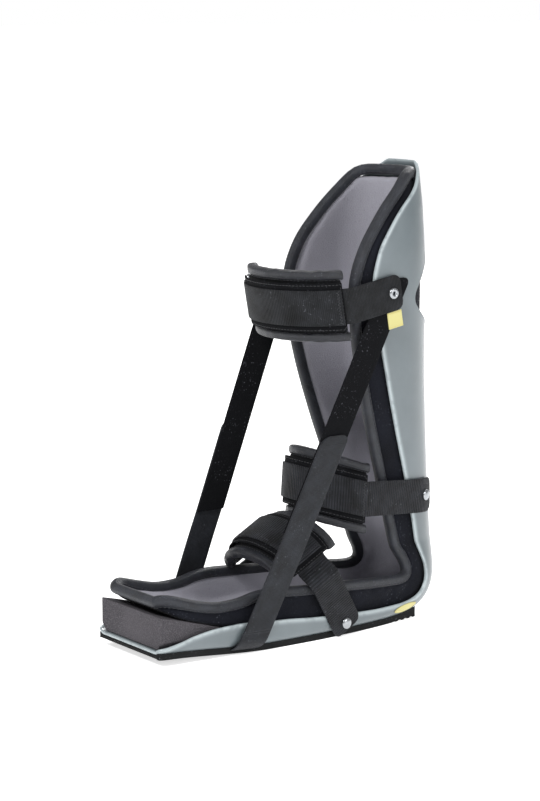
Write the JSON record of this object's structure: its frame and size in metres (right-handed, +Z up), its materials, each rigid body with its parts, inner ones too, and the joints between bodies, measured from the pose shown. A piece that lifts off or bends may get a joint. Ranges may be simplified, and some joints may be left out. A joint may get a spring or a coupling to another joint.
{
  "type": "plantar fasciitis night splint",
  "caption": "L-shaped hard trough with a foam liner, toe wedge, three padded cuffs and side straps, that holds a foot at a right angle to the shin.",
  "frame": {"origin": "on the floor under the middle of the sole's length and width", "axes": "+Z up, -Y toward the toes, +X toward the wearer's left"},
  "size_m": [0.1209, 0.303, 0.3907],
  "materials": {
    "shell_plastic": "satin, moulded, grey with a hint of green and blue",
    "sole_rubber": "matt rubber with a fine tread",
    "wedge_foam": "matt closed-cell foam, charcoal",
    "foam_cloth": "brushed cloth over foam, black",
    "bound_edge": "smooth woven binding tape, black",
    "webbing": "ribbed woven tape, black",
    "loop_pile": "fuzzy loop pile, black",
    "steel": "plated steel, bright",
    "yellow_label": "plain pale yellow, no print"
  },
  "bodies": {
    "root": {"shell": "shell_plastic", "outsole": "sole_rubber", "toe_wedge": "wedge_foam", "liner_foot": "foam_cloth", "liner_heel": "foam_cloth", "liner_leg": "foam_cloth", "liner_binding": "bound_edge", "shin_pad": "foam_cloth", "shin_pad_facing": "loop_pile", "shin_binding_top": "bound_edge", "shin_binding_bottom": "bound_edge", "shin_strap": "webbing", "shin_ring": "steel", "shin_ring_strap": "webbing", "shin_rivet_left": "steel", "shin_rivet_right": "steel", "ankle_pad": "foam_cloth", "ankle_pad_facing": "loop_pile", "ankle_binding_top": "bound_edge", "ankle_binding_bottom": "bound_edge", "ankle_strap": "webbing", "ankle_ring": "steel", "ankle_ring_strap": "webbing", "ankle_rivet_left": "steel", "ankle_rivet_right": "steel", "instep_pad": "foam_cloth", "instep_pad_facing": "loop_pile", "instep_binding_top": "bound_edge", "instep_binding_bottom": "bound_edge", "instep_strap": "webbing", "instep_ring": "steel", "instep_ring_strap": "webbing", "instep_rivet_left": "steel", "instep_rivet_right": "steel", "side_strap_left": "loop_pile", "side_strap_right": "loop_pile", "stirrup_strap": "webbing", "size_tag": "yellow_label", "oval_label": "yellow_label"}
  },
  "joints": []
}
